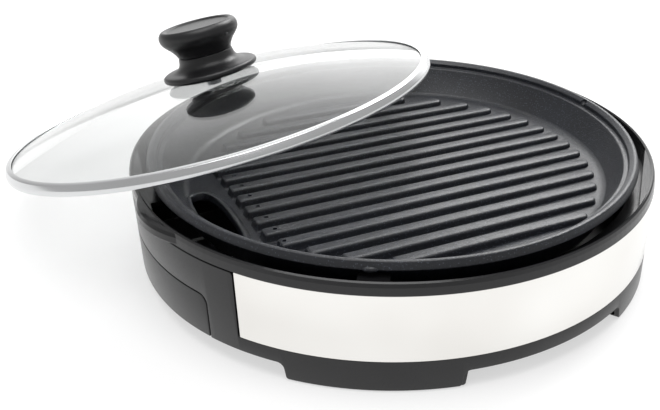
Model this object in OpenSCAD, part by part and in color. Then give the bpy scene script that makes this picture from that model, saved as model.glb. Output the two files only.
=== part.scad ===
// Electric indoor grill with a loose glass lid, in millimetres.
// Z is up, and z = 0 is the flat underside of the base, so the feet reach below it.
// X runs along the ribs, from the drip tray at -X to the controls at +X. -Y is the front.

/* [Body] */
// Outer radius of the side bands, the side panels and the skirt
body_r = 173.6; // [171:0.1:176]
// Height of the skirt under the side bands
skirt_h = 9.6; // [8:0.1:12]
// Height of the side bands and panels
band_h = 43.6; // [42:0.1:46]
// Height of the top ring above the bands
ring_h = 7.8; // [7:0.1:9]
// Thickness of the steel bands
band_t = 0.8; // [0.5:0.1:1]
// Thickness of the black side panels
panel_t = 3.1; // [2.5:0.1:3.2]
// Angle that the panel at each end of the body spans
panel_arc = 66.6; // [60:0.1:72]
// Height of the feet
foot_h = 11.5; // [10:0.1:14]
// Angle that each foot spans
foot_arc = 34; // [24:1:36]

/* [Plate] */
// Radius of the plate's lip at its top bead
lip_r = 160; // [158:0.1:161]
// Height of the lip's bead above the base
lip_z = 67; // [66.5:0.1:68]
// Height of the cooking floor above the base
floor_z = 40.5; // [40:0.1:42]
// Height of the ribs above the floor
rib_h = 6; // [4:0.1:8]
// Distance from one rib to the next
rib_pitch = 16; // [15:0.1:17]
// Width of a rib's flat top
rib_w = 9; // [7:0.1:10]
// Number of ribs
rib_count = 15; // [9:2:15]

/* [Drip tray] */
// Width of the tray's front
tray_w = 111.2; // [100:0.1:112]
// Height of the tray's front
tray_h = 27.9; // [24:0.1:28]
// Offset of the drain opening and the tray towards the front
drain_y = -16; // [-18:1:-14]

/* [Lid] */
// Outer radius of the steel rim
lid_r = 154.5; // [154:0.1:154.8]
// Height of the glass dome's top above the rim's lower edge
lid_h = 27.5; // [27:0.1:32]
// Thickness of the glass
glass_t = 4; // [3.5:0.1:4.2]
// How far the lid leans from level where it rests
lid_tilt = 15; // [14.8:0.1:15.3]
// Direction in which the lid leans and lies off the plate
lid_turn = 126.8; // [126:0.1:127.5]
// How far the lid's centre lies from the plate's centre
lid_shift = 141.8; // [141:0.1:142.5]
// Height of the lid's centre above the base
lid_z = 58.2; // [57.5:0.1:59]

/* [Controls] */
// Radius of the temperature dial
dial_r = 15; // [12:0.5:16]
// Height of the dial's axis
dial_z = 31; // [30:0.5:32]
// Direction of the power inlet, seen from the body's axis
inlet_turn = 14.5; // [14:0.1:15]
// Direction of the indicator lamp, seen from the body's axis
lamp_turn = -10.5; // [-12:0.1:-9.5]

/* [Hidden] */

$fn = 96;
far = 400;                            // longer than anything that it cuts
gap = 0.1;                            // clearance between pieces that lie face to face

// Heights of the body's bands and ring
band_z0 = skirt_h;
band_z1 = band_z0 + band_h;
ring_z = band_z1 + ring_h;

// Housing wall
wall_out = body_r - band_t - gap;     // behind the steel bands
wall_panel = body_r - panel_t - gap;  // behind the side panels
wall_in = wall_out - 3.9;
shelf_r = 157.5;                      // inner edge of the shelf under the plate's lip
shelf_z = band_z1 - 3.3;
shelf_t = 3;
side_a = 90 - panel_arc / 2;          // half of the angle of each steel band
handle_turn = 188.5;                   // middle of the bulge in the ring beside the finger pocket
handle_r = 60;                        // the bulge's own radius, seen from above
handle_out = body_r + 5.2;
ledge_in = 164.8;                     // from the body's axis to the straight edge of each ledge
ledge_turns = [172, -40.5];

// Base
base_t = 2.5;
boss_r = 5.5;
boss_ring = 160.5;                    // radius on which the base screws stand
boss_turns = [-148, -90, -25, 27, 95, 158];
screw_r = 1.6;
foot_turns = [-119.5, -45, 60.5, 135];
foot_in = 151;
pad_t = 1;
bay_x = -102;                         // inner end of the drip tray's bay
bay_wall = 2;
bay_h = 24;
tray_y0 = drain_y - tray_w / 2;
tray_y1 = drain_y + tray_w / 2;
tray_box = [100, 21];                 // width and height of the tray's box
tray_z = 2.8;

// Plate
plate_t = 3.5;
under_z = floor_z - plate_t;          // underside of the cooking floor
seat_z = lip_z - 5;                   // where the lid's rim sits
lug_turns = [0, 120, 240];
rib_right = 133;                      // radius of the circle on which the ribs end at the right
rib_right_y = -6;                     // that circle's centre
rib_left = 125;                       // radius that the ribs' left ends reach
rib_stop = -112;                      // where the ribs stop beside the drain
drain_x = -130.2;
drain_r = 8.6;
drain_len = 79;
drain_edge = 2.2;

// Heater
heater_r = 78;
heater_tube = 3.4;
heater_z = under_z - heater_tube - 1.1;
lead_turn = 20;                       // half of the gap in the heater ring
lead_bend = 10;                       // radius of the bend from the ring into each lead
lead_y = (heater_r + lead_bend) * sin(lead_turn) - lead_bend;
lead_x0 = (heater_r + lead_bend) * cos(lead_turn);
lead_x1 = 118;
reflector_z = 12.1;
reflector_t = 0.9;
reflector_top = reflector_z + reflector_t;
post_ring = 60;
post_turns = [60, 180, 300];
clip_turns = [90, 180, 270];

// Controls
thermo_x = [130, 156];
thermo_half = 14;
thermo_drop = 14;                     // how far the regulator reaches below the dial's axis
shaft_r = 3;
inlet_size = [27.4, 19.4];
inlet_r = [150, 173.2];
pin_t = 5.5;
fuse_x = 40;
fuse_r = 3;

// Lid
rim_t = 0.7;
glass_r = lid_r - 1.6;
edge_z = 5.6;                         // height of the dome's edge, on its outer face
dome_r = (glass_r * glass_r + pow(lid_h - edge_z, 2)) / (2 * (lid_h - edge_z));
washer_t = 1.2;
knob_z = lid_h + washer_t;            // underside of the knob's flange
seam_z = lid_h + 16.5;                // where the knob's two halves meet
knob_top = lid_h + 36.8;

// A ring of the given outline that spans the angle a0 to a1
module sector(a0, a1, points) {
    rotate([0, 0, a0]) rotate_extrude(angle = a1 - a0, $fn = 180) polygon(points);
}

// A ring sector with a rectangular section
module band(a0, a1, r0, r1, z0, z1) {
    sector(a0, a1, [[r0, z0], [r1, z0], [r1, z1], [r0, z1]]);
}

// Children at a radius and a direction from the body's axis
module at(turn, r, z = 0) {
    rotate([0, 0, turn]) translate([r, 0, z]) children();
}

// Children moved from the lid's own frame, rim down at z = 0, to where the lid rests
module lid_pose() {
    rotate([0, 0, lid_turn])
        translate([lid_shift, 0, lid_z])
            rotate([0, lid_tilt, 0])
                children();
}

// Outline of the drip tray's front, seen along X, with its two upper corners rounded
module tray_outline(grow) {
    r = 6;
    translate([tray_y0 - grow, 0.3 - grow])
        square([tray_w + 2 * grow, tray_h - r + grow]);
    translate([tray_y0 + r, 0.3])
        square([tray_w - 2 * r, tray_h + grow]);
    for (y = [tray_y0 + r, tray_y1 - r])
        translate([y, 0.3 + tray_h - r]) circle(r = r + grow, $fn = 48);
}

// The tray front's outline as a block on the -X side of the body
module tray_block(grow, x0 = 120) {
    translate([-x0, 0, 0]) rotate([0, 0, 180]) mirror([0, 1, 0])
        rotate([90, 0, 90]) linear_extrude(height = 80) tray_outline(grow);
}

// ---------------------------------------------------------------- lid

module lid_glass() {
    color([0.8, 0.85, 0.85, 0.35]) lid_pose() difference() {
        intersection() {
            translate([0, 0, lid_h - dome_r]) sphere(r = dome_r, $fn = 180);
            cylinder(r = glass_r, h = lid_h + 1, $fn = 180);
        }
        translate([0, 0, lid_h - dome_r]) sphere(r = dome_r - glass_t, $fn = 180);
        translate([0, 0, -1]) cylinder(r = glass_r + 1, h = 1.5 + 1);
        cylinder(r = 4, h = far);
    }
}

module lid_rim() {
    in_r = glass_r + 0.15;
    color("gainsboro") lid_pose() rotate_extrude($fn = 180) polygon([
        [glass_r - 4, 0.4], [lid_r - 0.6, 0.4], [lid_r, 1], [lid_r - 0.1, 3.2],
        [lid_r - 1, 5.8], [lid_r - 2.4, 7.1], [glass_r - 3.8, 7.7],
        [glass_r - 3.8, 7.7 - rim_t], [lid_r - 2.8, 6.35], [in_r, 5.9],
        [in_r, 0.4 + rim_t], [glass_r - 4, 0.4 + rim_t]]);
}

module knob_base() {
    color([0.15, 0.15, 0.15]) lid_pose() rotate_extrude() polygon([
        [3, knob_z], [29, knob_z + 0.5], [32.2, knob_z + 1.2], [33.4, knob_z + 2.6],
        [33.4, knob_z + 3.8], [32.4, knob_z + 5.1], [30, knob_z + 5.8], [25.6, knob_z + 6.4],
        [22.2, knob_z + 7.9], [20, knob_z + 10.6], [19, seam_z], [3, seam_z]]);
}

module knob_grip() {
    z = seam_z + 0.05;
    color([0.13, 0.13, 0.13]) lid_pose() difference() {
        rotate_extrude() polygon([
            [0, z], [18.9, z], [19.7, z + 2.6], [22, z + 6], [25.2, z + 9.2], [27.2, z + 12],
            [27.9, z + 14.6], [27.6, z + 17], [26.4, z + 19], [24.6, knob_top],
            [23.2, knob_top - 0.2], [21.5, knob_top - 1.1], [0, knob_top - 1.9]]);
        translate([0, 0, z - 1]) cylinder(r = 4.5, h = 15);
    }
}

module lid_washers() {
    color([0.2, 0.2, 0.2]) lid_pose() difference() {
        union() {
            translate([0, 0, lid_h + 0.05]) cylinder(r = 6.5, h = washer_t - gap);
            translate([0, 0, lid_h - glass_t - 1.6]) cylinder(r = 9, h = 1.5);
        }
        cylinder(r = 2.8, h = far);
    }
}

module knob_insert() {
    color("goldenrod") lid_pose() difference() {
        translate([0, 0, seam_z + 0.1]) cylinder(r = 4.4, h = 13.8);
        translate([0, 0, seam_z - 1]) cylinder(r = 2.55, h = 13);
    }
}

module knob_screw() {
    color("silver") lid_pose() union() {
        translate([0, 0, lid_h - glass_t - 4.6]) cylinder(r = 5, h = 2.9);
        translate([0, 0, lid_h - glass_t - 2]) cylinder(r = 2.5, h = 30);
    }
}

// ---------------------------------------------------------------- grill plate

// One rib along X: square at its left end, round in plan at its right end
module rib(y) {
    r_top = rib_w / 2;
    r_foot = r_top + 1.2;
    x1 = sqrt(pow(rib_right, 2) - pow(y - rib_right_y, 2)) - r_foot;
    x0 = max(rib_stop, -sqrt(pow(rib_left, 2) - y * y));
    translate([x0, y, floor_z - 0.5]) rotate([90, 0, 90])
        linear_extrude(height = x1 - x0)
            polygon([[-r_foot, 0], [r_foot, 0], [r_top, rib_h + 0.5], [-r_top, rib_h + 0.5]]);
    translate([x1, y, floor_z - 0.5])
        cylinder(r1 = r_foot, r2 = r_top, h = rib_h + 0.5, $fn = 48);
}

// Plan of the drain opening, grown by a margin, from z0 to z1
module drain(grow, z0, z1) {
    y0 = drain_y - drain_len / 2 + drain_r;
    y1 = drain_y + drain_len / 2 - drain_r;
    intersection() {
        union() {
            for (y = [y0, y1])
                translate([drain_x, y, z0]) cylinder(r = drain_r + grow, h = z1 - z0, $fn = 48);
            translate([drain_x - drain_r - grow, y0, z0])
                cube([2 * (drain_r + grow), y1 - y0, z1 - z0]);
        }
        translate([0, 0, z0]) cylinder(r = 138.5 + grow, h = z1 - z0);
    }
}

module grill_plate() {
    color([0.22, 0.24, 0.29]) difference() {
        union() {
            rotate_extrude($fn = 180) polygon([
                [0, floor_z], [136, floor_z], [139.4, floor_z + 0.8], [141.8, floor_z + 2.6],
                [143.2, floor_z + 5], [152.2, seat_z], [155.3, seat_z], [155.5, lip_z - 2.2],
                [158.6, lip_z - 0.4], [lip_r - 0.3, lip_z], [lip_r + 0.6, lip_z - 0.4],
                [162.4, lip_z - 4.7], [162, lip_z - 5.4], [160.4, lip_z - 5.4],
                [158.6, lip_z - 3.6], [157.4, lip_z - 5.6], [155.6, seat_z - 3],
                [146.4, floor_z + 3.4], [142.6, under_z + 0.9], [139.6, under_z],
                [0, under_z]]);
            for (k = [0:rib_count - 1]) rib((k - (rib_count - 1) / 2) * rib_pitch);
            drain(drain_edge, floor_z - 0.5, floor_z + 1.8);
            for (a = lug_turns) at(a, 158, lip_z - 7.5) translate([0, -5, 0]) cube([6.6, 10, 3.2]);
        }
        drain(0, under_z - 1, floor_z + 3);
        at(0, 157.2, lip_z - 3) translate([0, -1.4, 0]) cube([4, 2.8, 4]);
        for (k = [-4:2])
            translate([rib_stop + 7.6, k * rib_pitch, floor_z + rib_h - 0.5])
                cylinder(r = 1.3, h = 1, $fn = 24);
    }
}

// ---------------------------------------------------------------- body

// Places for the six base screws
module screw_places() {
    for (a = boss_turns) at(a, boss_ring) children();
}

// Openings in the right side for the dial's shaft, the lamp and the power inlet
module control_openings() {
    translate([thermo_x[1] + 8, 0, dial_z]) rotate([0, 90, 0]) cylinder(r = 4, h = 20, $fn = 48);
    at(lamp_turn, 164, dial_z) rotate([0, 90, 0]) cylinder(r = 3.2, h = 20, $fn = 48);
    at(inlet_turn, 164, dial_z) translate([0, -inlet_size[0] / 2 - gap, -inlet_size[1] / 2 - gap])
        cube([20, inlet_size[0] + 2 * gap, inlet_size[1] + 2 * gap]);
}

// Flat ledge inside the ring, with a straight inner edge
module ledge(turn) {
    intersection() {
        at(turn, ledge_in, ring_z - 3.3) translate([0, -60, 0]) cube([20, 120, 2.5]);
        cylinder(r = body_r - 2.7, h = far, $fn = 180);
    }
}

// Soft outward bulge of the ring, beside the finger pocket
module ring_bulge() {
    intersection() {
        at(handle_turn, handle_out - handle_r) rotate_extrude($fn = 180) polygon([
            [handle_r - 20, band_z1 + 0.4], [handle_r - 0.6, band_z1 + 0.4],
            [handle_r, band_z1 + 1.2], [handle_r - 0.4, ring_z - 3],
            [handle_r - 1.5, ring_z - 1], [handle_r - 4, ring_z - 0.5],
            [handle_r - 20, ring_z - 0.4]]);
        band(handle_turn - 13, handle_turn + 13, body_r - 1.85, body_r + 8,
             band_z1 - 1, ring_z + 1);
    }
}

module housing() {
    color([0.16, 0.16, 0.17]) difference() {
        union() {
            rotate_extrude($fn = 180) polygon([
                [wall_in, band_z0 + gap], [wall_out, band_z0 + gap], [wall_out, band_z1],
                [body_r, band_z1], [body_r - 0.4, ring_z - 3], [body_r - 1.1, ring_z - 0.7],
                [body_r - 2.1, ring_z], [body_r - 3.2, ring_z - 0.5], [body_r - 3.8, ring_z - 2],
                [wall_in + 0.6, shelf_z + 5], [wall_in, shelf_z], [shelf_r, shelf_z],
                [shelf_r, shelf_z - shelf_t], [wall_in, shelf_z - shelf_t]]);
            for (a = lug_turns)
                at(a, shelf_r + 0.5, shelf_z - 1) translate([0, -9, 0]) cube([11.8, 18, 9]);
            for (a = boss_turns) at(a, boss_ring) {
                translate([0, 0, base_t + gap]) cylinder(r = boss_r, h = shelf_z - shelf_t - base_t);
                translate([0, -1.5, band_z0 + 0.6]) cube([9.3, 3, shelf_z - shelf_t - band_z0]);
            }
            ring_bulge();
            for (a = ledge_turns) ledge(a);
        }
        // Recesses for the side panels, and the tray's opening
        for (a = [0, 180])
            band(a - panel_arc / 2, a + panel_arc / 2, wall_panel, body_r - 0.6,
                 band_z0 - 1, band_z1 + 0.3);
        tray_block(0.7);
        control_openings();
        // Finger pocket between the plate's lip and the ring's bulge
        band(handle_turn - 12, handle_turn + 12, shelf_r - 2, wall_in + 1.2, 34, ring_z - 3);
        screw_places() translate([0, 0, base_t]) cylinder(r = screw_r, h = 18, $fn = 32);
        for (a = lug_turns) at(a, 157, lip_z - 7.6) translate([0, -5.3, 0]) cube([8.2, 10.6, 8]);
    }
}

module front_band() {
    color("whitesmoke")
        band(-90 - side_a + 0.1, -90 + side_a - 0.1, body_r - band_t, body_r,
             band_z0 + gap, band_z1 - gap);
}

module rear_band() {
    color("whitesmoke")
        band(90 - side_a + 0.1, 90 + side_a - 0.1, body_r - band_t, body_r,
             band_z0 + gap, band_z1 - gap);
}

module side_panel(turn) {
    band(turn - panel_arc / 2 + 0.15, turn + panel_arc / 2 - 0.15, body_r - panel_t, body_r,
         band_z0 + gap, band_z1 - gap);
}

module left_panel() {
    color([0.15, 0.15, 0.16]) difference() {
        side_panel(180);
        tray_block(0.7);
    }
}

module right_panel() {
    color([0.15, 0.15, 0.16]) difference() {
        side_panel(0);
        control_openings();
    }
}

module base_pan() {
    color([0.14, 0.14, 0.14]) difference() {
        union() {
            cylinder(r = body_r - 1, h = base_t, $fn = 180);
            rotate_extrude($fn = 180) polygon([
                [wall_in - 2, 0], [body_r - 0.6, 0], [body_r, 0.6], [body_r, skirt_h],
                [wall_in - 2, skirt_h]]);
            for (a = foot_turns)
                band(a - foot_arc / 2, a + foot_arc / 2, foot_in, body_r - 0.4,
                     pad_t - foot_h, base_t - 1);
            // Drip tray's bay
            for (y = [drain_y - tray_box[0] / 2 - 0.6 - bay_wall, drain_y + tray_box[0] / 2 + 0.6])
                translate([-158, y, 1]) cube([158 + bay_x, bay_wall, bay_h - 1]);
            translate([bay_x - 0.1, drain_y - tray_box[0] / 2 - 2.5, 1.2])
                cube([bay_wall, tray_box[0] + 5, bay_h - 1.4]);
            for (a = post_turns)
                at(a, post_ring, 1) cylinder(r = 5, h = reflector_z - 1.05);
        }
        // The tray's front closes this part of the skirt
        difference() {
            tray_block(0.4);
            cylinder(r = body_r - 3.6, h = 3 * foot_h, center = true, $fn = 180);
        }
        translate([-190, drain_y - tray_box[0] / 2 - 0.4, base_t])
            cube([60, tray_box[0] + 0.8, 30]);
        screw_places() {
            translate([0, 0, -1]) cylinder(r = 2, h = 10, $fn = 32);
            translate([0, 0, -1]) cylinder(r = 4, h = 2.2, $fn = 32);
        }
        for (a = post_turns)
            at(a, post_ring) translate([0, 0, 4]) cylinder(r = 1.6, h = 20, $fn = 32);
    }
}

module foot_pads() {
    color([0.1, 0.1, 0.1]) for (a = foot_turns)
        band(a - foot_arc / 2 + 1, a + foot_arc / 2 - 1, foot_in + 2, body_r - 2.4,
             -foot_h, pad_t - foot_h);
}

module base_screws() {
    color("silver") screw_places() {
        translate([0, 0, 0.2]) cylinder(r = 3.6, h = 0.95, $fn = 32);
        translate([0, 0, 0.3]) cylinder(r = 1.5, h = 17, $fn = 32);
    }
}

module drip_tray() {
    y0 = drain_y - tray_box[0] / 2;
    color([0.15, 0.15, 0.16]) union() {
        intersection() {
            difference() {
                cylinder(r = body_r, h = 40, $fn = 180);
                translate([0, 0, -1]) cylinder(r = body_r - 3.2, h = 42, $fn = 180);
            }
            tray_block(0);
        }
        difference() {
            intersection() {
                translate([-180, y0, tray_z]) cube([180 + bay_x - 3, tray_box[0], tray_box[1]]);
                cylinder(r = body_r - 3, h = 60, $fn = 180);
            }
            intersection() {
                translate([-180, y0 + 2, tray_z + 2])
                    cube([180 + bay_x - 5, tray_box[0] - 4, tray_box[1]]);
                cylinder(r = body_r - 6, h = 60, $fn = 180);
            }
        }
    }
}

// ---------------------------------------------------------------- heater

module reflector() {
    color("lightgrey") difference() {
        rotate_extrude() polygon([
            [0, reflector_z], [92, reflector_z], [98.5, reflector_z + 11], [97.4, reflector_z + 11],
            [91.4, reflector_top], [0, reflector_top]]);
        for (a = post_turns) at(a, post_ring) cylinder(r = 2, h = 30, $fn = 32);
    }
}

module reflector_screws() {
    color("silver") for (a = post_turns) at(a, post_ring) {
        translate([0, 0, reflector_top + 0.05]) cylinder(r = 4, h = 2.2, $fn = 32);
        translate([0, 0, 5]) cylinder(r = 1.5, h = reflector_top - 4.5, $fn = 32);
    }
}

module heating_element() {
    bend_y = lead_y + lead_bend;
    color([0.35, 0.35, 0.33]) union() {
        rotate([0, 0, lead_turn]) rotate_extrude(angle = 360 - 2 * lead_turn, $fn = 180)
            translate([heater_r, heater_z]) circle(r = heater_tube, $fn = 72);
        for (side = [0, 1]) mirror([0, side, 0]) {
            translate([lead_x0, bend_y, 0]) rotate([0, 0, 180 + lead_turn - 2])
                rotate_extrude(angle = 94 - lead_turn, $fn = 180)
                    translate([lead_bend, heater_z]) circle(r = heater_tube - 0.1, $fn = 72);
            translate([lead_x0, lead_y, heater_z]) rotate([0, 90, 0])
                cylinder(r = heater_tube, h = lead_x1 - lead_x0, $fn = 72);
        }
    }
}

module element_terminals() {
    color("linen") for (s = [-1, 1]) translate([lead_x1 + gap, s * lead_y, heater_z])
        rotate([0, 90, 0]) {
            cylinder(r = 4.4, h = 8, $fn = 32);
            cylinder(r = 1.5, h = 16, $fn = 32);
        }
}

module element_clips() {
    color("silver") for (a = clip_turns) at(a, heater_r) {
        difference() {
            translate([0, 3, heater_z]) rotate([90, 0, 0]) cylinder(r = 4.3, h = 6, $fn = 48);
            translate([0, 4, heater_z]) rotate([90, 0, 0])
                cylinder(r = heater_tube + 0.15, h = 8, $fn = 48);
        }
        translate([-1.5, -3, reflector_top + 0.05])
            cube([3, 6, heater_z - heater_tube - 0.5 - reflector_top]);
        translate([-6, -3, reflector_top + 0.05]) cube([12, 6, 1]);
    }
}

// ---------------------------------------------------------------- controls

module thermostat() {
    color([0.3, 0.3, 0.32]) difference() {
        union() {
            translate([thermo_x[0], -thermo_half, dial_z - thermo_drop])
                cube([thermo_x[1] - thermo_x[0], 2 * thermo_half, thermo_drop + 4.6]);
            for (s = [-1, 1]) translate([thermo_x[1] - 1, s * 10.5, dial_z])
                rotate([0, 90, 0]) cylinder(r = 3, h = 13, $fn = 32);
        }
        translate([thermo_x[1] - 12, 0, dial_z]) rotate([0, 90, 0])
            cylinder(r = shaft_r + 0.05, h = 20, $fn = 64);
    }
}

module control_dial() {
    x0 = body_r + 0.9;
    color([0.12, 0.12, 0.12]) translate([0, 0, dial_z]) rotate([0, 90, 0]) {
        translate([0, 0, thermo_x[1] - 11]) cylinder(r = shaft_r, h = x0 - thermo_x[1] + 12, $fn = 64);
        translate([0, 0, x0]) cylinder(r = dial_r, h = 3, $fn = 96);
        translate([0, 0, x0 + 2.5]) cylinder(r = dial_r - 3, h = 8.5, $fn = 96);
        translate([-dial_r + 2.2, -2.2, x0 + 2.5]) cube([2 * dial_r - 8, 4.4, 10.5]);
    }
}

module indicator_lamp() {
    color([0.75, 0.12, 0.08]) at(lamp_turn, 158, dial_z) rotate([0, 90, 0]) {
        cylinder(r = 3, h = body_r - 158, $fn = 48);
        translate([0, 0, body_r - 158 + 0.1 - 0.3]) cylinder(r1 = 3, r2 = 2.2, h = 1, $fn = 48);
    }
}

module power_inlet() {
    color([0.18, 0.18, 0.18]) at(inlet_turn, inlet_r[0], dial_z) difference() {
        translate([0, -inlet_size[0] / 2, -inlet_size[1] / 2])
            cube([inlet_r[1] - inlet_r[0], inlet_size[0], inlet_size[1]]);
        translate([6, -inlet_size[0] / 2 + 2, -inlet_size[1] / 2 + 2])
            cube([30, inlet_size[0] - 4, inlet_size[1] - 4]);
        for (s = [-1, 1]) translate([-1, s * pin_t, 0]) rotate([0, 90, 0])
            cylinder(r = 2.05, h = 10, $fn = 48);
    }
}

module inlet_pins() {
    color("silver") at(inlet_turn, inlet_r[0], dial_z) for (s = [-1, 1])
        translate([0, s * pin_t, 0]) rotate([0, 90, 0]) cylinder(r = 2, h = 18, $fn = 48);
}

module thermal_fuse() {
    color("whitesmoke") translate([fuse_x, 8, reflector_top + fuse_r + 0.4])
        rotate([90, 0, 0]) cylinder(r = fuse_r, h = 16, $fn = 48);
}

module fuse_clip() {
    z = reflector_top + fuse_r + 0.4;
    color("silver") difference() {
        union() {
            translate([fuse_x, 3, z]) rotate([90, 0, 0]) cylinder(r = fuse_r + 0.9, h = 6, $fn = 48);
            translate([fuse_x - 10, -3, reflector_top + 0.05]) cube([20, 6, 0.8]);
            translate([fuse_x - 3.9, -3, reflector_top + 0.05]) cube([7.8, 6, z - reflector_top]);
        }
        translate([fuse_x, 4, z]) rotate([90, 0, 0]) cylinder(r = fuse_r + 0.1, h = 8, $fn = 48);
        translate([fuse_x - 5, -4, 0]) cube([10, 8, reflector_top + 0.05]);
    }
}

// A straight lead of radius r from p to q
module lead(p, q, r) {
    d = q - p;
    flat = norm([d[0], d[1]]);
    translate(p) rotate([0, atan2(flat, d[2]), atan2(d[1], d[0])])
        cylinder(r = r, h = norm(d), $fn = 48);
}

// A lead with a bend at each inner point; the radii alternate a little where stretches meet
module lead_run(points) {
    for (i = [0:len(points) - 2]) lead(points[i], points[i + 1], 1.2 - 0.1 * (i % 2));
}

// A point in the inlet's own directions: outwards, sideways and up
function inlet_point(r, t, z) = [r * cos(inlet_turn) - t * sin(inlet_turn),
                                 r * sin(inlet_turn) + t * cos(inlet_turn), z];

module internal_wires() {
    term_x = lead_x1 + gap + 16.3;
    fuse_z = reflector_top + fuse_r + 0.4;
    color([0.85, 0.8, 0.7]) union() {
        lead_run([inlet_point(148.6, -pin_t, dial_z), [143, 29, dial_z], [143, thermo_half + 0.3, dial_z]]);
        lead_run([inlet_point(148.6, pin_t, dial_z), [139, 34, 31.5], [term_x + 1, lead_y, heater_z]]);
        lead_run([[thermo_x[0] - 0.3, -6, 26], [104, -4, 28], [70, 6, 20], [fuse_x, 9.6, fuse_z]]);
        lead_run([[fuse_x, -9.6, fuse_z], [70, -12, 20], [112, -32, 28.5], [139.5, -27, 30],
                  [term_x + 1, -lead_y, heater_z]]);
    }
}

lid_glass();
lid_rim();
knob_base();
knob_grip();
lid_washers();
knob_insert();
knob_screw();
grill_plate();
housing();
front_band();
rear_band();
left_panel();
right_panel();
base_pan();
foot_pads();
reflector();
reflector_screws();
heating_element();
element_terminals();
element_clips();
thermostat();
control_dial();
indicator_lamp();
thermal_fuse();
fuse_clip();
power_inlet();
inlet_pins();
internal_wires();
base_screws();
drip_tray();
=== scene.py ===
# Round electric indoor grill: a ribbed non-stick plate on a black and steel body, and a loose lid.
# The sections follow its assembly, from the base upwards. Lengths are in millimetres until a mesh
# is made from them, which turns them to metres.
import cmath
import math
import bmesh
import bpy
from mathutils import Matrix, Vector


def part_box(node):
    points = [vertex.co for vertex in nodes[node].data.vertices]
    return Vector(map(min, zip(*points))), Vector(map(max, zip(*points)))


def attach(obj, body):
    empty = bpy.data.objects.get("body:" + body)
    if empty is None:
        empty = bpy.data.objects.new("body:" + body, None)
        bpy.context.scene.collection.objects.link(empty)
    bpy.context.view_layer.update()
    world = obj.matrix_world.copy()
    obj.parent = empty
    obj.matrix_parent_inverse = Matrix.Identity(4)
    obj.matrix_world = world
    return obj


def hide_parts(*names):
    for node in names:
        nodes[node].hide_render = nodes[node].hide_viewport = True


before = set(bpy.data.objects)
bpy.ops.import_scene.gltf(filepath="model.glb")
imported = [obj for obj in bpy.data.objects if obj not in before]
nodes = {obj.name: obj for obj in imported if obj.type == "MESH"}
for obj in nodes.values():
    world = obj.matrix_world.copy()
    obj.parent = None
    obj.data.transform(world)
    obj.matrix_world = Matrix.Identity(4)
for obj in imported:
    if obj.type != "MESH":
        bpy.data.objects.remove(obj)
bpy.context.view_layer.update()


# ---- Base pan, rubber pads and base screws
# The base is one injection moulding in black ABS: a floor, a skirt, and four feet with rubber pads
# let in. Six zinc-plated screws go up through it into the housing.
def linear(code):
    """An sRGB hex colour as linear red, green, blue and alpha."""
    parts = [int(code[i:i + 2], 16) / 255 for i in (1, 3, 5)]
    return [c / 12.92 if c <= 0.04045 else ((c + 0.055) / 1.055) ** 2.4 for c in parts] + [1]


def new_material(name):
    """An empty node material."""
    material = bpy.data.materials.new(name)
    material.use_nodes = True
    material.node_tree.nodes.clear()
    return material


def add(material, kind, inputs=None, **settings):
    """Adds a shader node. An input is a number, a colour, or another node's output socket."""
    made = material.node_tree.nodes.new("ShaderNode" + kind)
    for setting, value in settings.items():
        setattr(made, setting, value)
    for socket, value in (inputs or {}).items():
        if isinstance(value, bpy.types.NodeSocket):
            material.node_tree.links.new(value, made.inputs[socket])
        else:
            made.inputs[socket].default_value = value
    return made


def dress(material, *names):
    """Gives a material to CAD nodes that stay as they are."""
    for name in names:
        nodes[name].data.materials.clear()
        nodes[name].data.materials.append(material)


def grained_finish(name, dark, light, roughness, grain, depth):
    """A moulded, fired or woven surface: its grain, in mm, softens its reflections.

    Its tone drifts a little over patches 45 mm across.
    """
    material = new_material(name)
    place = add(material, "TexCoord").outputs["Object"]
    flow = add(material, "TexNoise", {"Vector": place, "Scale": 1000 / 45, "Detail": 3})
    texture = add(material, "TexNoise", {"Vector": place, "Scale": 1000 / grain, "Detail": 2})
    colour = add(material, "ValToRGB", {"Fac": flow.outputs["Fac"]})
    colour.color_ramp.elements[0].position = 0.3
    colour.color_ramp.elements[0].color = linear(dark)
    colour.color_ramp.elements[1].position = 0.7
    colour.color_ramp.elements[1].color = linear(light)
    gloss = add(material, "MapRange", {"Value": texture.outputs["Fac"], "From Min": 0.3,
                                       "From Max": 0.7, "To Min": roughness - 0.05,
                                       "To Max": roughness + 0.05})
    bump = add(material, "Bump", {"Height": texture.outputs["Fac"], "Strength": depth,
                                  "Distance": 0.0002})
    skin = add(material, "BsdfPrincipled", {"Base Color": colour.outputs["Color"],
                                            "Roughness": gloss.outputs["Result"],
                                            "Normal": bump.outputs["Normal"], "IOR": 1.46})
    add(material, "OutputMaterial", {"Surface": skin.outputs["BSDF"]})
    return material


# ABS from a spark-eroded mould: satin black, a shade greyer in patches. Its grain is about 0.1 mm,
# and is drawn at 0.5 mm so that it shows. The other mouldings' grains are drawn coarser likewise.
satin_abs = grained_finish("moulded_black_abs", "#0d0d0c", "#121211", 0.40, 0.5, 0.12)
# Natural rubber, moulded and unpolished: matt, with hardly a highlight
pad_rubber = grained_finish("moulded_rubber", "#0e0e0e", "#171716", 0.75, 0.8, 0.3)


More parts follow.
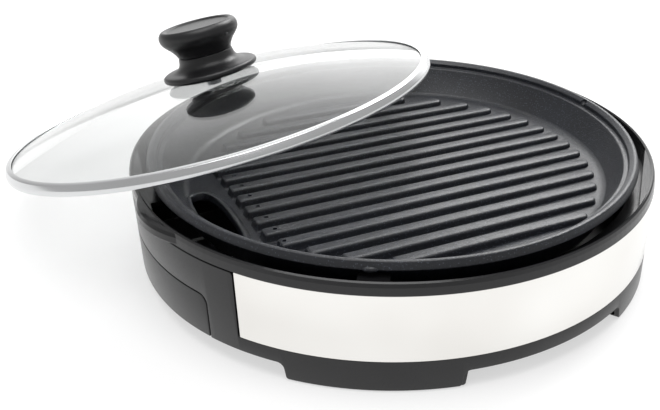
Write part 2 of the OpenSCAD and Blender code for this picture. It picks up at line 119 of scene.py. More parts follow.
def unpolished_metal(name, dark, light, roughness, blotch):
    """A bare or plated metal: its gloss is uneven in small blotches, in mm across."""
    material = new_material(name)
    place = add(material, "TexCoord").outputs["Object"]
    cloud = add(material, "TexNoise", {"Vector": place, "Scale": 1000 / blotch, "Detail": 4})
    colour = add(material, "ValToRGB", {"Fac": cloud.outputs["Fac"]})
    colour.color_ramp.elements[0].color = linear(dark)
    colour.color_ramp.elements[1].color = linear(light)
    gloss = add(material, "MapRange", {"Value": cloud.outputs["Fac"], "To Min": roughness - 0.08,
                                       "To Max": roughness + 0.08})
    skin = add(material, "BsdfPrincipled", {"Base Color": colour.outputs["Color"], "Metallic": 1,
                                            "Roughness": gloss.outputs["Result"]})
    add(material, "OutputMaterial", {"Surface": skin.outputs["BSDF"]})
    return material


# Zinc plate on pressed screws: pale grey with a faint blue cast
zinc_plate = unpolished_metal("zinc_plated_steel", "#8d9094", "#c3c5c8", 0.32, 3)
dress(pad_rubber, "foot_pads")
dress(zinc_plate, "base_screws", "reflector_screws", "element_clips", "fuse_clip")


# ---- Housing
# The body's inner wall and its top ring are one ABS moulding, held to the base by six screws. The
# ring is wider at the left, where a hand goes in.

# ABS from a polished mould: near black, with a clear, hard gloss and hardly any grain
gloss_abs = grained_finish("polished_black_abs", "#131314", "#19191b", 0.19, 0.6, 0.02)
dress(gloss_abs, "housing")


# ---- Steel bands
# Two strips of stainless sheet, one in front and one behind, are polished nearly to a mirror and
# rolled round the housing's wall between the side panels.
def link(name, mesh, material, body, slot, *stands_for):
    """Makes a mesh a piece that rides on a body and may stand for CAD nodes."""
    piece = bpy.data.objects.new(name, mesh)
    bpy.context.scene.collection.objects.link(piece)
    piece.data.materials.append(material)
    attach(piece, body)
    if stands_for:
        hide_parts(*stands_for)
    return piece


def to_mesh(name, form, sharp=35):
    """Turns a bmesh in millimetres into a closed, smooth-shaded mesh in metres."""
    bmesh.ops.remove_doubles(form, verts=form.verts, dist=0.002)
    bmesh.ops.dissolve_degenerate(form, edges=form.edges, dist=0.001)
    bmesh.ops.recalc_face_normals(form, faces=form.faces)
    bmesh.ops.scale(form, verts=form.verts, vec=(0.001, 0.001, 0.001))
    mesh = bpy.data.meshes.new(name)
    form.to_mesh(mesh)
    form.free()
    mesh.shade_smooth()
    mesh.set_sharp_from_angle(angle=math.radians(sharp))
    return mesh


def rounded(corners, steps=5):
    """A closed outline of (x, y, radius) corners, each rounded to an arc of that radius."""
    points = []
    for i, (x, y, radius) in enumerate(corners):
        here = complex(x, y)
        before = complex(*corners[i - 1][:2]) - here
        after = complex(*corners[(i + 1) % len(corners)][:2]) - here
        half = abs(cmath.phase(after / before)) / 2
        if radius == 0 or half > 1.56:    # a sharp corner, or hardly a corner at all
            points.append((x, y))
            continue
        reach = min(radius / math.tan(half), 0.48 * abs(before), 0.48 * abs(after))
        start = here + before / abs(before) * reach
        end = here + after / abs(after) * reach
        middle = before / abs(before) + after / abs(after)
        centre = here + middle / abs(middle) * reach / math.cos(half)
        turn = cmath.phase((end - centre) / (start - centre))
        for k in range(steps + 1):
            point = centre + (start - centre) * cmath.exp(1j * turn * k / steps)
            points.append((point.real, point.imag))
    return points


def bent_sheet(name, outline, radius, thickness, edge, step=1.5):
    """A plate with this outline (along the arc, up), its edges softened, wrapped on a cylinder.

    It is divided every few degrees (step), so that it can bend.
    """
    form = bmesh.new()
    face = form.faces.new([form.verts.new((s, 0, z)) for s, z in outline])
    raised = bmesh.ops.extrude_face_region(form, geom=[face])["geom"]
    bmesh.ops.translate(form, vec=(0, thickness, 0),
                        verts=[v for v in raised if isinstance(v, bmesh.types.BMVert)])
    bmesh.ops.recalc_face_normals(form, faces=form.faces)
    flat = [e for e in form.edges if abs(e.verts[0].co.y - e.verts[1].co.y) < 1e-6]
    bmesh.ops.bevel(form, geom=flat, offset=edge, segments=3, profile=0.5, affect="EDGES",
                    clamp_overlap=True)
    span = math.radians(step) * radius
    low = min(s for s, z in outline)
    high = max(s for s, z in outline)
    for k in range(1, int((high - low) / span) + 1):
        bmesh.ops.bisect_plane(form, geom=form.verts[:] + form.edges[:] + form.faces[:],
                               plane_co=(low + k * span, 0, 0), plane_no=(1, 0, 0))
    for v in form.verts:
        angle = v.co.x / radius
        reach = radius - thickness + v.co.y
        v.co = Vector((reach * math.cos(angle), reach * math.sin(angle), v.co.z))
    return to_mesh(name, form)


def arc(degrees, radius):
    """The length along a circle that an angle spans."""
    return math.radians(degrees) * radius


def polished_steel(name, dark, light, roughness):
    """Stainless sheet after a fine polish: a clear reflection, a little uneven over 110 mm."""
    material = new_material(name)
    place = add(material, "TexCoord").outputs["Object"]
    cloud = add(material, "TexNoise", {"Vector": place, "Scale": 1000 / 110, "Detail": 2})
    tone = add(material, "ValToRGB", {"Fac": cloud.outputs["Fac"]})
    tone.color_ramp.elements[0].position = 0.35
    tone.color_ramp.elements[0].color = linear(dark)
    tone.color_ramp.elements[1].position = 0.65
    tone.color_ramp.elements[1].color = linear(light)
    gloss = add(material, "MapRange", {"Value": cloud.outputs["Fac"], "To Min": roughness - 0.04,
                                       "To Max": roughness + 0.04})
    skin = add(material, "BsdfPrincipled", {"Base Color": tone.outputs["Color"], "Metallic": 1,
                                            "Roughness": gloss.outputs["Result"]})
    add(material, "OutputMaterial", {"Surface": skin.outputs["BSDF"]})
    return material


# The bands are buffed: a pale, slightly warm mirror
mirror_steel = polished_steel("polished_stainless_steel", "#e9e7e3", "#f4f3f0", 0.16)

body_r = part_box("base_pan")[1].x * 1000
band_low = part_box("front_band")[0].z * 1000
band_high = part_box("front_band")[1].z * 1000
band_half = 56.7                      # degrees on each side of the band's middle
band_edge = arc(band_half - 0.1, body_r)
band_t = 0.8
for band_name, band_middle in (("front_band", -90), ("rear_band", 90)):
    middle = arc(band_middle, body_r)
    left, right = middle - band_edge, middle + band_edge
    band_outline = rounded([(left, band_low, 0.6), (right, band_low, 0.6), (right, band_high, 0.6),
                            (left, band_high, 0.6)], 3)
    band_mesh = bent_sheet(band_name + "_sheet", band_outline, body_r, band_t, 0.25, 1)
    link(band_name + "_sheet", band_mesh, mirror_steel, "base", "polished_steel", band_name)


# ---- Side panels, skirt and feet
# The left panel, the skirt and the four feet show one continuous black ABS face, cut out for the
# drip tray. The right panel has holes for the dial, the lamp and the power inlet.

# ABS with a shallower grain than the floor: black, with a soft sheen along the curve
panel_abs = grained_finish("satin_black_abs_panel", "#19191a", "#1f1f20", 0.32, 0.5, 0.10)
panel_half = 33.15                    # degrees on each side of the panel's middle
panel_t = 3.1
skirt_top = band_low - 0.1
foot_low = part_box("foot_pads")[1].z * 1000
foot_half = 17.3                      # degrees on each side of a foot's middle
foot_turns = [135, 239.8, 315, 420.5]
tray_low, tray_high = (corner * 1000 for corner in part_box("drip_tray"))
tray_gap = 0.8
tray_round = 6
tray_wide = 2.6                       # the front's overlap past the tray's bay, at its front end


def arc_place(y):
    """Where a height y on the left of the body lies along its arc, measured from +X."""
    return body_r * (math.pi - math.asin(y / body_r))


def foot_outline(turn, inset=0):
    """A foot's outline, from its left corner to its right one, with rounded corners."""
    left = arc(turn - foot_half, body_r) + inset
    right = arc(turn + foot_half, body_r) - inset
    return [(left, inset, 4.5), (left + 1.6, foot_low, 1.8), (right - 1.6, foot_low, 1.8),
            (right, inset, 4.5)]


front_cut = arc_place(tray_low.y - tray_wide - tray_gap)
rear_cut = arc_place(tray_high.y + tray_gap)
tray_top = tray_high.z + tray_gap
panel_top = band_high - 0.9
panel_front = arc(180 + panel_half, body_r) - 0.6
panel_rear = arc(180 - panel_half, body_r) + 0.6
shell_start, shell_end = arc(90.05, body_r), arc(449.95, body_r)
# Unrolled: along the bottom from the back, round the feet and the tray's cut-out, and then back
# along the skirt's top, up round the left panel
shell = [(shell_start, 0, 0.6)] + foot_outline(foot_turns[0])
shell += [(rear_cut, 0, 0.4), (rear_cut, tray_top, tray_round), (front_cut, tray_top, tray_round),
          (front_cut, 0, 0.4)]
for foot_turn in foot_turns[1:]:
    shell += foot_outline(foot_turn)
shell += [(shell_end, 0, 0.6), (shell_end, skirt_top, 0.4), (panel_front, skirt_top, 0.8),
          (panel_front, panel_top, 2), (panel_rear, panel_top, 2), (panel_rear, skirt_top, 0.8),
          (shell_start, skirt_top, 0.4)]
link("lower_shell", bent_sheet("lower_shell", rounded(shell), body_r, panel_t, 0.45), panel_abs,
     "base", "base_plastic", "left_panel", "base_pan")
# The rest of each foot's depth, set back a little behind the shell's face
block_inset, block_set_back, block_top, block_depth = 0.3, 0.6, 2, 21.5
for foot_turn in foot_turns:
    block = foot_outline(foot_turn, block_inset)
    block = [(block[0][0], block_top, 0)] + block + [(block[-1][0], block_top, 0)]
    block_mesh = bent_sheet("foot_block", rounded(block), body_r - block_set_back, block_depth,
                            0.4)
    link("foot_block", block_mesh, panel_abs, "base", "base_plastic")
dress(panel_abs, "right_panel")


def turned(name, outline, facets=240):
    """A closed outline (radius, height), turned about the upright axis."""
    form = bmesh.new()
    rings = []
    for k in range(facets):
        angle = 2 * math.pi * k / facets
        rings.append([form.verts.new((r * math.cos(angle), r * math.sin(angle), z))
                      for r, z in outline])
    for k in range(facets):
        here, there = rings[k], rings[(k + 1) % facets]
        for i in range(len(outline)):
            j = (i + 1) % len(outline)
            if outline[i][0] > 0 or outline[j][0] > 0:
                form.faces.new((here[i], here[j], there[j], there[i]))
    return to_mesh(name, form)


def cut(piece, cutter):
    """Takes a cutter's shape out of a piece."""
    boolean = piece.modifiers.new("cut", "BOOLEAN")
    boolean.operation = "DIFFERENCE"
    boolean.object = cutter
    boolean.solver = "EXACT"
    bpy.context.view_layer.update()
    view = bpy.context.evaluated_depsgraph_get()
    mesh = bpy.data.meshes.new_from_object(piece.evaluated_get(view))
    piece.modifiers.clear()
    piece.data = mesh
    bpy.data.objects.remove(cutter)
    mesh.shade_smooth()
    mesh.set_sharp_from_angle(angle=math.radians(35))


def cutting(name, form):
    """An object that only cuts others."""
    cutter = bpy.data.objects.new(name, to_mesh(name, form))
    bpy.context.scene.collection.objects.link(cutter)
    return cutter


pan_floor_r, pan_floor_t = 170.2, 2.5
floor_outline = [(0, 0), (pan_floor_r, 0), (pan_floor_r, pan_floor_t), (0, pan_floor_t)]
pan_floor = link("base_pan_floor", turned("base_pan_floor", floor_outline), satin_abs, "base",
                 "base_plastic")
screw_ring, screw_hole_r = 160.5, 4
screw_form = bmesh.new()
for screw_turn in (-148, -90, -25, 27, 95, 158):
    screw_angle = math.radians(screw_turn)
    screw_place = Matrix.Translation((screw_ring * math.cos(screw_angle),
                                      screw_ring * math.sin(screw_angle), 0))
    bmesh.ops.create_cone(screw_form, cap_ends=True, segments=32, radius1=screw_hole_r,
                          radius2=screw_hole_r, depth=12, matrix=screw_place)
cut(pan_floor, cutting("screw_cutter", screw_form))


# ---- Drip tray
# A shallow box of black ABS that slides in under the drain. It is one moulding with its curved
# front, which fills the cut-out, down to the bottom of the skirt.
tray_start, tray_end = arc_place(tray_high.y), arc_place(tray_low.y - tray_wide)
tray_front_t = 3
tray_front = [(tray_start, tray_low.z, 0.5), (tray_end, tray_low.z, 0.5),
              (tray_end, tray_high.z, tray_round), (tray_start, tray_high.z, tray_round)]
front_mesh = bent_sheet("drip_tray_front", rounded(tray_front), body_r, tray_front_t, 0.45)
link("drip_tray_front", front_mesh, panel_abs, "tray", "base_plastic", "drip_tray")


def lofted(form, levels):
    """Joins outlines of equal length into one closed solid, capped at both ends."""
    rings = [[form.verts.new(point) for point in level] for level in levels]
    for lower, upper in zip(rings, rings[1:]):
        for k in range(len(lower)):
            j = (k + 1) % len(lower)
            form.faces.new((lower[k], lower[j], upper[j], upper[k]))
    form.faces.new(rings[0])
    form.faces.new(rings[-1])


def open_box(name, low, high, wall, radius):
    """A moulded box, open at its top, with round upright corners and softened edges."""
    soft, top_soft = 1.2, 0.3
    levels = []
    for inset, z in ((soft, low[2]), (0.4, low[2] + 0.4), (0, low[2] + soft),
                     (0, high[2] - top_soft), (top_soft, high[2]), (wall - top_soft, high[2]),
                     (wall, high[2] - top_soft), (wall, low[2] + wall + soft),
                     (wall + soft, low[2] + wall)):
        corner = radius - inset
        outline = rounded([(low[0] + inset, low[1] + inset, corner),
                           (high[0] - inset, low[1] + inset, corner),
                           (high[0] - inset, high[1] - inset, corner),
                           (low[0] + inset, high[1] - inset, corner)])
        levels.append([(x, y, z) for x, y in outline])
    form = bmesh.new()
    lofted(form, levels)
    return to_mesh(name, form)


tray_box_low = (-body_r + 18, -66, 2.8)
tray_box_high = (tray_high.x, 34, 23.8)
tray_wall, tray_corner = 2, 5
box_mesh = open_box("drip_tray_box", tray_box_low, tray_box_high, tray_wall, tray_corner)
link("drip_tray_box", box_mesh, panel_abs, "tray", "base_plastic")


# ---- Heater and wiring
# A sheathed heating ring lies in clips on a pressed aluminium reflector. Its ends go through
# ceramic terminals to the regulator, the thermal fuse and the power inlet by sleeved leads.

# Pressed aluminium sheet, left bare: dull, and a little stained by heat
pressed_aluminium = unpolished_metal("pressed_aluminium", "#a9a7a2", "#c9c8c5", 0.45, 25)
# Heater sheath of nickel steel after its first firing: dark, brown in patches
fired_sheath = unpolished_metal("fired_heater_sheath", "#3c3833", "#57534e", 0.5, 8)
# Free-cutting brass, turned: yellow, with a satin gloss
brass = unpolished_metal("turned_brass", "#b08d4c", "#c9a767", 0.3, 2)
# Nickel plate on brass pins: warm grey and bright
nickel = unpolished_metal("nickel_plated_brass", "#b9b7b1", "#d4d2cc", 0.2, 4)
# Steatite, fired without a glaze: chalk white, with no gloss
steatite = grained_finish("fired_steatite", "#d9d5cb", "#e6e3da", 0.7, 0.7, 0.25)
# Glass-fibre sleeving, woven: a warm white, rough
sleeving = grained_finish("woven_glass_sleeving", "#c6c0ae", "#d8d2c2", 0.85, 0.9, 0.6)
# Phenolic, moulded for a hidden part: dark grey and dull
regulator_plastic = grained_finish("moulded_phenolic", "#232325", "#2d2d2f", 0.5, 0.6, 0.2)
dress(pressed_aluminium, "reflector")
dress(fired_sheath, "heating_element")
dress(brass, "knob_insert")
dress(nickel, "inlet_pins")
dress(steatite, "element_terminals", "thermal_fuse")
dress(sleeving, "internal_wires")
dress(regulator_plastic, "thermostat")


# ---- Controls
# A temperature dial, a red lamp and the recessed power inlet sit in the right panel. The dial is
# pushed onto the regulator's shaft. It and the inlet are ABS like the base.

# Clear polycarbonate tinted red, moulded: it glows a little at its rim
red_lens = new_material("red_polycarbonate_lens")
lens_place = add(red_lens, "TexCoord").outputs["Object"]
lens_cloud = add(red_lens, "TexNoise", {"Vector": lens_place, "Scale": 1000 / 2, "Detail": 2})
lens_tone = add(red_lens, "ValToRGB", {"Fac": lens_cloud.outputs["Fac"]})
lens_tone.color_ramp.elements[0].color = linear("#8e120c")
lens_tone.color_ramp.elements[1].color = linear("#b3221a")
lens_skin = add(red_lens, "BsdfPrincipled", {"Base Color": lens_tone.outputs["Color"],
                                             "Roughness": 0.15, "IOR": 1.58,
                                             "Transmission Weight": 0.3})
add(red_lens, "OutputMaterial", {"Surface": lens_skin.outputs["BSDF"]})
dress(red_lens, "indicator_lamp")
dress(satin_abs, "power_inlet", "control_dial")


# ---- Grill plate
# Cast aluminium with a sprayed non-stick coating: a pan with a rolled lip, fifteen ribs, and a
# drain with a raised edge. The ribs end round at the right and square at the left.

# The coating is sprayed and baked: blue-black, with a low, broad gloss. Its pale grit is finer
# than 0.2 mm, and is drawn about 0.6 mm across and 1.5 mm apart so that it shows. The sprayed
# texture is drawn at 0.9 mm.
coating = new_material("sprayed_nonstick_coating")
coat_place = add(coating, "TexCoord").outputs["Object"]
coat_grit = add(coating, "TexVoronoi", {"Vector": coat_place, "Scale": 1000 / 1.5})
coat_specks = add(coating, "MapRange", {"Value": coat_grit.outputs["Distance"], "From Min": 0.10,
                                        "From Max": 0.26, "To Min": 1, "To Max": 0})
coat_cloud = add(coating, "TexNoise", {"Vector": coat_place, "Scale": 1000 / 30, "Detail": 3})
coat_ground = add(coating, "ValToRGB", {"Fac": coat_cloud.outputs["Fac"]})
coat_ground.color_ramp.elements[0].position = 0.3
coat_ground.color_ramp.elements[0].color = linear("#101218")
coat_ground.color_ramp.elements[1].position = 0.7
coat_ground.color_ramp.elements[1].color = linear("#171a21")
coat_colour = add(coating, "MixRGB", {"Fac": coat_specks.outputs["Result"],
                                      "Color1": coat_ground.outputs["Color"],
                                      "Color2": linear("#4c515c")})
coat_spray = add(coating, "TexNoise", {"Vector": coat_place, "Scale": 1000 / 0.9, "Detail": 2})
coat_gloss = add(coating, "MapRange", {"Value": coat_spray.outputs["Fac"], "From Min": 0.3,
                                       "From Max": 0.7, "To Min": 0.30, "To Max": 0.50})
coat_bump = add(coating, "Bump", {"Height": coat_spray.outputs["Fac"], "Strength": 0.5,
                                  "Distance": 0.0004})
coat_skin = add(coating, "BsdfPrincipled", {"Base Color": coat_colour.outputs["Color"],
                                            "Roughness": coat_gloss.outputs["Result"],
                                            "Normal": coat_bump.outputs["Normal"], "IOR": 1.5,
                                            "Specular IOR Level": 0.54})
add(coating, "OutputMaterial", {"Surface": coat_skin.outputs["BSDF"]})

lip_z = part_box("grill_plate")[1].z * 1000
seat_z = lip_z - 5
floor_z = lip_z - 26.5
under_z = floor_z - 3.5
lip_r = 160
# Half the pan's section, from the middle of its underside round the lip to the middle of its floor
pan = rounded([(0, under_z, 0), (144.2, under_z, 6), (156.2, seat_z - 3, 2),
               (158.6, lip_z - 3.4, 0.8), (160.4, lip_z - 5.4, 0.5),
               (lip_r + 2.5, lip_z - 5.3, 0.8), (lip_r + 0.5, lip_z, 1.6),
               (lip_r - 1.6, lip_z, 1.6), (lip_r - 4.6, lip_z - 2, 1.2),
               (lip_r - 4.6, seat_z, 0.8), (152.2, seat_z, 1.2), (141.2, floor_z, 6),
               (0, floor_z, 0)], 6)
pan_mesh = turned("grill_plate_pan", pan, 360)
# The floor falls towards the drain, so the ribs stand lower above it at the right. In metres:
# the whole fall, where it starts, its run, and the radius inside which the floor is tilted.
fall, fall_low, fall_run, fall_r = 0.0032, -0.112, 0.243, 0.1475
fall_fade = 6                         # millimetres above the floor at which the tilt has died out
for vertex in pan_mesh.vertices:
    above = vertex.co.z * 1000 - floor_z
    if -0.01 < above < fall_fade and vertex.co.x > fall_low and vertex.co.xy.length < fall_r:
        vertex.co.z += fall * (vertex.co.x - fall_low) / fall_run * (1 - max(0, above) / fall_fade)
plate = link("grill_plate_pan", pan_mesh, coating, "plate", "nonstick_plate", "grill_plate")

drain_x, drain_y, drain_across, drain_along = -131.2, -15.5, 10.2, 40.6
drain_square = 2.7                    # 2 is an ellipse, and more is squarer
drain_limit = 138.5                   # the pan's wall starts rising here
drain_points = 96


def squared(part):
    """A sine or cosine, made fuller so that an ellipse becomes squarer."""
    return math.copysign(abs(part) ** (2 / drain_square), part)


def drain_outline(grow, z):
    """The drain's outline, grown by a margin: it follows the pan outside and bows inside."""
    points = []
    for k in range(drain_points):
        turn = 2 * math.pi * k / drain_points
        x = drain_x + squared(math.cos(turn)) * (drain_across + grow)
        y = drain_y + squared(math.sin(turn)) * (drain_along + grow)
        reach = min(1, (drain_limit + grow) / math.hypot(x, y))
        points.append((x * reach, y * reach, z))
    return points


drain_margin = 0.6                    # the hole is cut into the middle of its edge's wall
drain_form = bmesh.new()
lofted(drain_form, [drain_outline(drain_margin, under_z - 1),
                    drain_outline(drain_margin, floor_z + 3)])
cut(plate, cutting("drain_cutter", drain_form))

# A small round notch in the lip's inner edge marks the first of three tabs under the lip
notch_turn, notch_ring, notch_r = math.radians(1.4), 156, 2.8
notch_form = bmesh.new()
notch_place = Matrix.Translation((notch_ring * math.cos(notch_turn),
                                  notch_ring * math.sin(notch_turn), lip_z - 1))
bmesh.ops.create_uvsphere(notch_form, u_segments=24, v_segments=12, radius=notch_r,
                          matrix=notch_place)
cut(plate, cutting("lip_notch_cutter", notch_form))
tab_ring, tab_drop, tab_turns = 161.4, 4.7, (1.4, 120, -120.8)
tab_out, tab_half_wide, tab_half_high = 2, 4.8, 1.8
tab_form = bmesh.new()
for tab_turn in tab_turns:
    tab_place = (Matrix.Rotation(math.radians(tab_turn), 4, "Z")
                 @ Matrix.Translation((tab_ring, 0, lip_z - tab_drop))
                 @ Matrix.Diagonal((tab_out, tab_half_wide, tab_half_high, 1)))
    bmesh.ops.create_uvsphere(tab_form, u_segments=24, v_segments=12, radius=1, matrix=tab_place)
link("lip_tabs", to_mesh("lip_tabs", tab_form), coating, "plate", "nonstick_plate")

# The raised edge's section: how far out from the drain, and how high above the floor
edge_profile = [(0, -3.5), (1.2, -3.5), (1.2, -0.6), (5.4, -0.4), (4.4, 0.15), (3.3, 0.9),
                (2.3, 1.5), (1.4, 1.75), (0.6, 1.6), (0.1, 1.1)]
edge_form = bmesh.new()
edge_rings = [[edge_form.verts.new(point) for point in drain_outline(out, floor_z + height)]
              for out, height in edge_profile]
for i in range(len(edge_rings)):
    inner, outer = edge_rings[i], edge_rings[(i + 1) % len(edge_rings)]
    for k in range(drain_points):
        j = (k + 1) % drain_points
        edge_form.faces.new((inner[k], inner[j], outer[j], outer[k]))
link("drain_edge", to_mesh("drain_edge", edge_form, 60), coating, "plate", "nonstick_plate")

rib_count, rib_pitch, rib_half, rib_h = 15, 16, 4.5, 6
# The ribs' ends lie on circles of these radii, and the long ones stop at a line at the left
rib_right, rib_right_y, rib_left, rib_stop = 133, -6, 125, -112
rib_end_gap, rib_corner = 1.2, 1.4
# How far the rib's side stands out from its half width, and how high above the floor
rib_profile = [(2.0, -0.4), (1.4, 0.1), (0.95, 0.6), (0.65, 1.2), (0.2, 3.9), (-0.02, 4.8),
               (-0.4, 5.4), (-1.0, 5.8), (-1.8, rib_h)]


def rib_outline(y, out, z):
    """A rib's outline at one height: square at the left, round at the right."""
    half = rib_half + out
    right = math.sqrt(rib_right ** 2 - (y - rib_right_y) ** 2) - rib_half - rib_end_gap
    left = max(rib_stop, -math.sqrt(rib_left ** 2 - y ** 2)) - out
    points = [(right + half * math.cos(a), y + half * math.sin(a), floor_z + z)
              for a in (math.pi * (k / 16 - 0.5) for k in range(17))]
    corner = min(rib_corner, half)
    for side, start in ((1, 0.5), (-1, 1)):
        points += [(left + corner + corner * math.cos(a), y + side * (half - corner)
                    + corner * math.sin(a), floor_z + z)
                   for a in (math.pi * (start + k / 8) for k in range(5))]
    return points


rib_form = bmesh.new()
for k in range(rib_count):
    y = (k - (rib_count - 1) / 2) * rib_pitch
    lofted(rib_form, [rib_outline(y, out, z) for out, z in rib_profile])
ribs = link("grill_plate_ribs", to_mesh("grill_plate_ribs", rib_form), coating, "plate",
            "nonstick_plate")

# Small flat pits, one near the left end of each of seven ribs
dimple_form = bmesh.new()
dimple_x, dimple_r, dimple_depth = rib_stop + 7.6, 1.4, 0.8
for k in range(-4, 3):
    bmesh.ops.create_cone(dimple_form, cap_ends=True, segments=24, radius1=dimple_r,
                          radius2=dimple_r, depth=2 * dimple_depth,
                          matrix=Matrix.Translation((dimple_x, k * rib_pitch, floor_z + rib_h)))
cut(ribs, cutting("dimple_cutter", dimple_form))


# ---- Lid
# A tempered glass dome with a stainless rim rolled round its edge, loose. It is held tilted over
# the plate's rear left, clear of it. Its pieces are made level and then moved by one lean.
lid_turn, lid_tilt = math.radians(126.8), math.radians(15)
lid_shift, lid_rise = 0.1418, 0.0582  # in metres, because it moves finished meshes
lid_lean = (Matrix.Rotation(lid_turn, 4, "Z") @ Matrix.Translation((lid_shift, 0, lid_rise))
            @ Matrix.Rotation(lid_tilt, 4, "Y"))


def lid_piece(name, outline, material, slot, *stands_for, facets=192):
    """A turned piece of the lid, moved to where the lid is."""
    mesh = turned(name, outline, facets)
    mesh.transform(lid_lean)
    return link(name, mesh, material, "lid", slot, *stands_for)


# Tempered soda-lime glass, pressed to a dome: clear, a trace of green, with a hard gloss
tempered_glass = new_material("tempered_glass")
glass_place = add(tempered_glass, "TexCoord").outputs["Object"]
glass_wave = add(tempered_glass, "TexNoise", {"Vector": glass_place, "Scale": 1000 / 60,
                                              "Detail": 1})
glass_tint = add(tempered_glass, "ValToRGB", {"Fac": glass_wave.outputs["Fac"]})
glass_tint.color_ramp.elements[0].color = linear("#eef0ef")
glass_tint.color_ramp.elements[1].color = linear("#f3f4f4")
glass_skin = add(tempered_glass, "BsdfPrincipled", {"Base Color": glass_tint.outputs["Color"],
                                                    "Roughness": 0.01, "IOR": 1.52,
                                                    "Transmission Weight": 1})
add(tempered_glass, "OutputMaterial", {"Surface": glass_skin.outputs["BSDF"]})

lid_r, lid_h, glass_t, edge_z = 154.45, 27.5, 4, 5.6
glass_r = lid_r - 1.6
dome_r = (glass_r ** 2 + (lid_h - edge_z) ** 2) / (2 * (lid_h - edge_z))


def dome_point(radius, sphere_r):
    """A point on the dome's outer or inner face, at a distance from the lid's axis."""
    return (radius, lid_h - dome_r + math.sqrt(sphere_r ** 2 - radius ** 2))


screw_hole, dome_steps = 4, 28
dome_reach = [screw_hole + (glass_r - screw_hole) * k / dome_steps for k in range(dome_steps + 1)]
outer_face = [dome_point(reach, dome_r) for reach in dome_reach]
inner_face = [dome_point(reach, dome_r - glass_t) for reach in dome_reach]
lid_piece("lid_glass_dome", outer_face + inner_face[::-1], tempered_glass, "lid_glass",
          "lid_glass")

# The rim's section: thin sheet, rolled from under the glass round its edge and onto its top
rim = rounded([(glass_r - 4, 0.4, 0.2), (lid_r - 0.2, 0.4, 0.8), (lid_r, 3.4, 3),
               (lid_r - 1.9, 7.1, 0.9), (glass_r - 3.8, 7.8, 0.2), (glass_r - 3.8, 7.1, 0.2),
               (lid_r - 2.5, 6.4, 0.4), (glass_r + 0.4, 4.2, 1.2), (glass_r + 0.2, 1.1, 0.4),
               (glass_r - 4, 1.1, 0.2)], 4)
# The rolled rim is buffed less than the bands: cooler and greyer
rim_steel = polished_steel("rolled_stainless_rim", "#cfd0d1", "#dadbdc", 0.2)
lid_piece("lid_rim_band", rim, rim_steel, "polished_steel", "lid_rim")
dress(pad_rubber, "lid_washers")
dress(zinc_plate, "knob_screw")


# ---- Knob
# Two phenolic mouldings: a wide flange that keeps the fingers off the glass, and a dished grip.
# A screw up through the glass holds both, in a brass insert.
def flowing(points, steps=4):
    """A smooth line through the points, by Catmull-Rom stretches."""
    line = [points[0]] + list(points) + [points[-1]]
    found = []
    for a, b, c, d in zip(line, line[1:], line[2:], line[3:]):
        for k in range(steps):
            t = k / steps
            found.append(tuple(0.5 * (2 * b[i] + (c[i] - a[i]) * t
                                      + (2 * a[i] - 5 * b[i] + 4 * c[i] - d[i]) * t * t
                                      + (3 * b[i] - a[i] - 3 * c[i] + d[i]) * t ** 3)
                               for i in (0, 1)))
    return found + [points[-1]]


# Phenolic, compression moulded and tumbled: a soft satin black
phenolic = grained_finish("satin_black_phenolic", "#101011", "#18181a", 0.38, 0.5, 0.08)
flange_z, seam_z, top_z = lid_h + 1.2, lid_h + 16.5, lid_h + 36.8
# Half the flange's section, from the glass up to the seam
flange = [(3, flange_z), (27, flange_z + 0.3), (31.6, flange_z + 0.9), (33.1, flange_z + 1.9),
          (33.4, flange_z + 3.2), (33, flange_z + 4.4), (31.8, flange_z + 5.3),
          (29.6, flange_z + 5.8), (25.5, flange_z + 6.5), (22.1, flange_z + 8.1),
          (20, flange_z + 10.8), (19, seam_z - 0.4), (18.4, seam_z)]
lid_piece("knob_flange", flowing(flange) + [(3, seam_z)], phenolic, "knob_plastic", "knob_base")
# Half the grip's section, from the seam up to the dish in its top
grip = [(18.2, seam_z + 0.1), (18.9, seam_z + 0.6), (19.9, seam_z + 2.8), (22.2, seam_z + 6.2),
        (25.2, seam_z + 9.3), (27.2, seam_z + 12), (27.9, seam_z + 14.6), (27.6, seam_z + 17),
        (26.4, seam_z + 19), (24.6, top_z - 0.2), (22.6, top_z - 0.6), (20.6, top_z - 1.5),
        (10, top_z - 1.9)]
lid_piece("knob_grip_cap", [(0, seam_z + 0.1)] + flowing(grip) + [(0, top_z - 2)], phenolic,
          "knob_plastic", "knob_grip")


# ---- Studio
# A white floor under two soft boxes, white to the eye and through the glass. In reflections the
# world is a grey haze, with a bright backdrop low behind that fades towards the left.
floor_white = new_material("white_studio_floor")
floor_path = add(floor_white, "LightPath")
floor_seen = add(floor_white, "Math", {0: floor_path.outputs["Is Camera Ray"],
                                       1: floor_path.outputs["Is Glossy Ray"]},
                 operation="MAXIMUM")
floor_through = add(floor_white, "Math", {0: floor_seen.outputs["Value"],
                                          1: floor_path.outputs["Is Transmission Ray"]},
                    operation="MAXIMUM")
# Seen straight or through glass it is 55% glow, and the rest is lit paint that keeps the shadows.
# In metal it is 85% glow, so that the bands are even.
floor_even = add(floor_white, "Math", {0: floor_through.outputs["Value"], 1: 0.55},
                 operation="MULTIPLY")
floor_share = add(floor_white, "Math", {0: floor_path.outputs["Is Glossy Ray"], 1: 0.3,
                                        2: floor_even.outputs["Value"]}, operation="MULTIPLY_ADD")
floor_paint = add(floor_white, "BsdfDiffuse", {"Color": linear("#f4f4f4")})
floor_glow = add(floor_white, "Emission", {"Color": linear("#ffffff"), "Strength": 1.05})
floor_mix = add(floor_white, "MixShader", {"Fac": floor_share.outputs["Value"],
                                           1: floor_paint.outputs["BSDF"],
                                           2: floor_glow.outputs["Emission"]})
add(floor_white, "OutputMaterial", {"Surface": floor_mix.outputs["Shader"]})
foot_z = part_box("foot_pads")[0].z
floor_form = bmesh.new()
bmesh.ops.create_grid(floor_form, x_segments=2, y_segments=2, size=1)
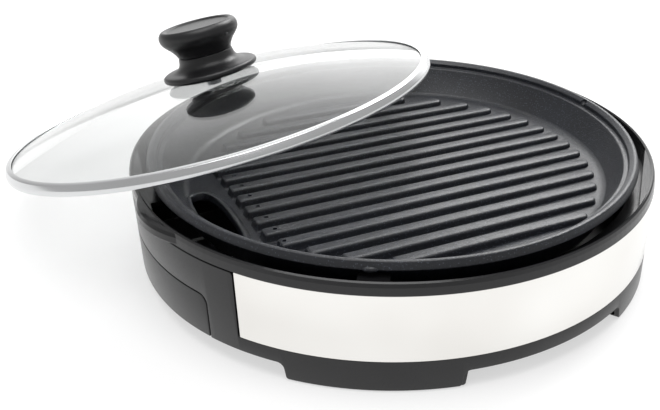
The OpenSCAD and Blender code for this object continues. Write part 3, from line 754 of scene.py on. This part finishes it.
floor_mesh = bpy.data.meshes.new("studio_floor")
floor_form.to_mesh(floor_mesh)
floor_form.free()
studio_floor = bpy.data.objects.new("studio_floor", floor_mesh)
studio_floor.data.materials.append(floor_white)
studio_floor.scale = (8, 8, 1)
studio_floor.location = (0, 0, foot_z)
bpy.context.scene.collection.objects.link(studio_floor)

world = bpy.data.worlds.new("studio_world")
world.use_nodes = True
world.node_tree.nodes.clear()
world_path = add(world, "LightPath")
world_place = add(world, "TexCoord").outputs["Generated"]
world_parts = add(world, "SeparateXYZ", {"Vector": world_place})
# The backdrop: behind, low and towards the right, where only mirrors see it
world_behind = add(world, "MapRange", {"Value": world_parts.outputs["Y"], "From Min": 0.3,
                                       "From Max": 0.8, "To Min": 0, "To Max": 1.9})
world_side = add(world, "MapRange", {"Value": world_parts.outputs["X"], "From Min": -0.15,
                                     "From Max": 0.35, "To Min": 0, "To Max": 1})
world_low = add(world, "MapRange", {"Value": world_parts.outputs["Z"], "From Min": 0.38,
                                    "From Max": 0.62, "To Min": 1, "To Max": 0})
world_near = add(world, "Math", {0: world_behind.outputs["Result"],
                                 1: world_side.outputs["Result"]}, operation="MULTIPLY")
world_backdrop = add(world, "Math", {0: world_near.outputs["Value"],
                                     1: world_low.outputs["Result"]}, operation="MULTIPLY")
world_haze = add(world, "Math", {0: world_backdrop.outputs["Value"], 1: 0.5}, operation="ADD")
world_mirrored = add(world, "MixRGB", {"Fac": world_path.outputs["Is Glossy Ray"],
                                       "Color1": linear("#d2d2d2"),
                                       "Color2": world_haze.outputs["Value"]})
world_straight = add(world, "Math", {0: world_path.outputs["Is Camera Ray"],
                                     1: world_path.outputs["Is Transmission Ray"]},
                     operation="MAXIMUM")
world_colour = add(world, "MixRGB", {"Fac": world_straight.outputs["Value"],
                                     "Color1": world_mirrored.outputs["Color"],
                                     "Color2": linear("#ffffff")})
world_light = add(world, "Background", {"Color": world_colour.outputs["Color"], "Strength": 1})
add(world, "OutputWorld", {"Surface": world_light.outputs["Background"]})
bpy.context.scene.world = world


def softbox(name, place, target, width, height, watts):
    """A rectangular soft box that faces a point."""
    lamp = bpy.data.lights.new(name, "AREA")
    lamp.shape = "RECTANGLE"
    lamp.size = width
    lamp.size_y = height
    lamp.energy = watts
    box = bpy.data.objects.new(name, lamp)
    box.location = place
    box.rotation_euler = (Vector(target) - Vector(place)).to_track_quat("-Z", "Y").to_euler()
    bpy.context.scene.collection.objects.link(box)


softbox("rear_softbox", (1.35, 1, 1.7), (0, 0, 0.05), 1.3, 1.2, 46)
softbox("top_softbox", (-0.2, -0.1, 1.6), (0, 0, 0), 1.2, 1.2, 16)

# The camera stands in front and to the left, and looks down on the plate.
view_yaw, view_pitch, view_roll = math.radians(29.4), math.radians(32.14), math.radians(1.88)
camera_data = bpy.data.cameras.new("camera")
camera_data.sensor_width = 36
camera_data.lens = 52.16
camera_data.shift_x = -0.1827
camera_data.shift_y = 0.1106
camera_data.clip_start = 0.01
camera = bpy.data.objects.new("camera", camera_data)
forward = Vector((math.sin(view_yaw) * math.cos(view_pitch),
                  math.cos(view_yaw) * math.cos(view_pitch), -math.sin(view_pitch)))
right = forward.cross(Vector((0, 0, 1))).normalized()
upward = right.cross(forward)
turned_right = math.cos(view_roll) * right + math.sin(view_roll) * upward
turned_up = math.cos(view_roll) * upward - math.sin(view_roll) * right
stand = Matrix((turned_right, turned_up, -forward)).transposed().to_4x4()
stand.translation = (-0.25789, -0.53778, 0.33101)
camera.matrix_world = stand
bpy.context.scene.collection.objects.link(camera)
bpy.context.scene.camera = camera
bpy.context.scene.view_settings.view_transform = "Standard"
